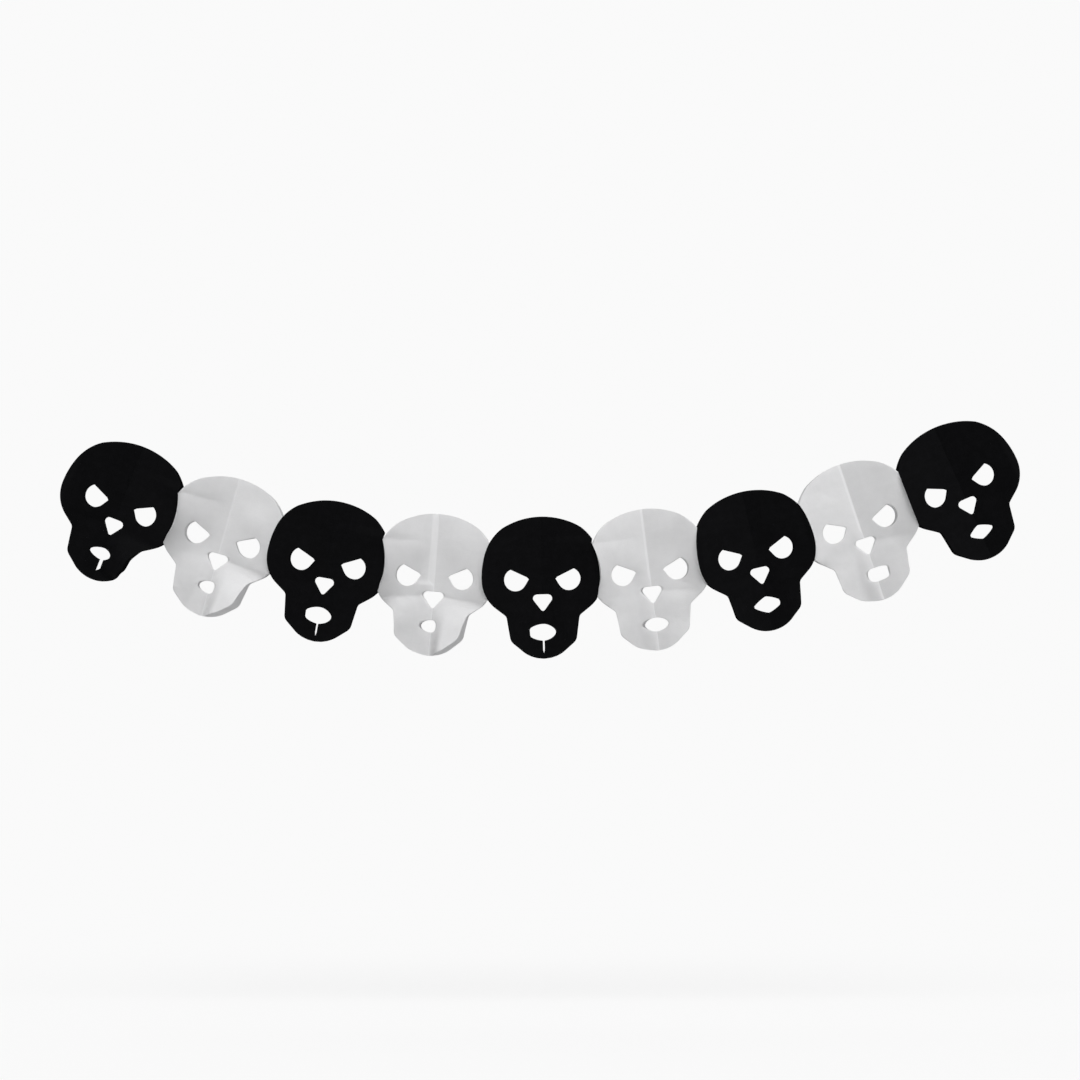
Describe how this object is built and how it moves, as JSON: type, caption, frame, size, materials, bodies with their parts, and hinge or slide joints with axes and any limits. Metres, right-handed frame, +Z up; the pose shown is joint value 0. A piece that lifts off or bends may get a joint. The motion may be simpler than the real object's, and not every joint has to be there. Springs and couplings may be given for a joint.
{
  "type": "papel picado skull garland",
  "caption": "Pull-out paper garland of die-cut skulls, alternately black and white, glued fold to fold and flap to flap and hanging in a shallow curve.",
  "frame": {"origin": "middle of the face of the first skull's back outer flap that is taped to a wall", "axes": "+X along the garland from the first skull to the last, to the viewer's right; +Y away from the viewer, into the wall; +Z up"},
  "size_m": [0.9247, 0.0584, 0.2297],
  "materials": {
    "black_tissue": "matte black tissue paper with soft creases",
    "white_tissue": "matte white tissue paper, slightly see-through, with soft creases"
  },
  "bodies": {
    "root": {"skull_1_black_left_sheet": "black_tissue", "skull_1_black_right_sheet": "black_tissue", "skull_2_white_left_sheet": "white_tissue", "skull_2_white_right_sheet": "white_tissue", "skull_3_black_left_sheet": "black_tissue", "skull_3_black_right_sheet": "black_tissue", "skull_4_white_left_sheet": "white_tissue", "skull_4_white_right_sheet": "white_tissue", "skull_5_black_left_sheet": "black_tissue", "skull_5_black_right_sheet": "black_tissue", "skull_6_white_left_sheet": "white_tissue", "skull_6_white_right_sheet": "white_tissue", "skull_7_black_left_sheet": "black_tissue", "skull_7_black_right_sheet": "black_tissue", "skull_8_white_left_sheet": "white_tissue", "skull_8_white_right_sheet": "white_tissue", "skull_9_black_left_sheet": "black_tissue", "skull_9_black_right_sheet": "black_tissue"}
  },
  "joints": []
}
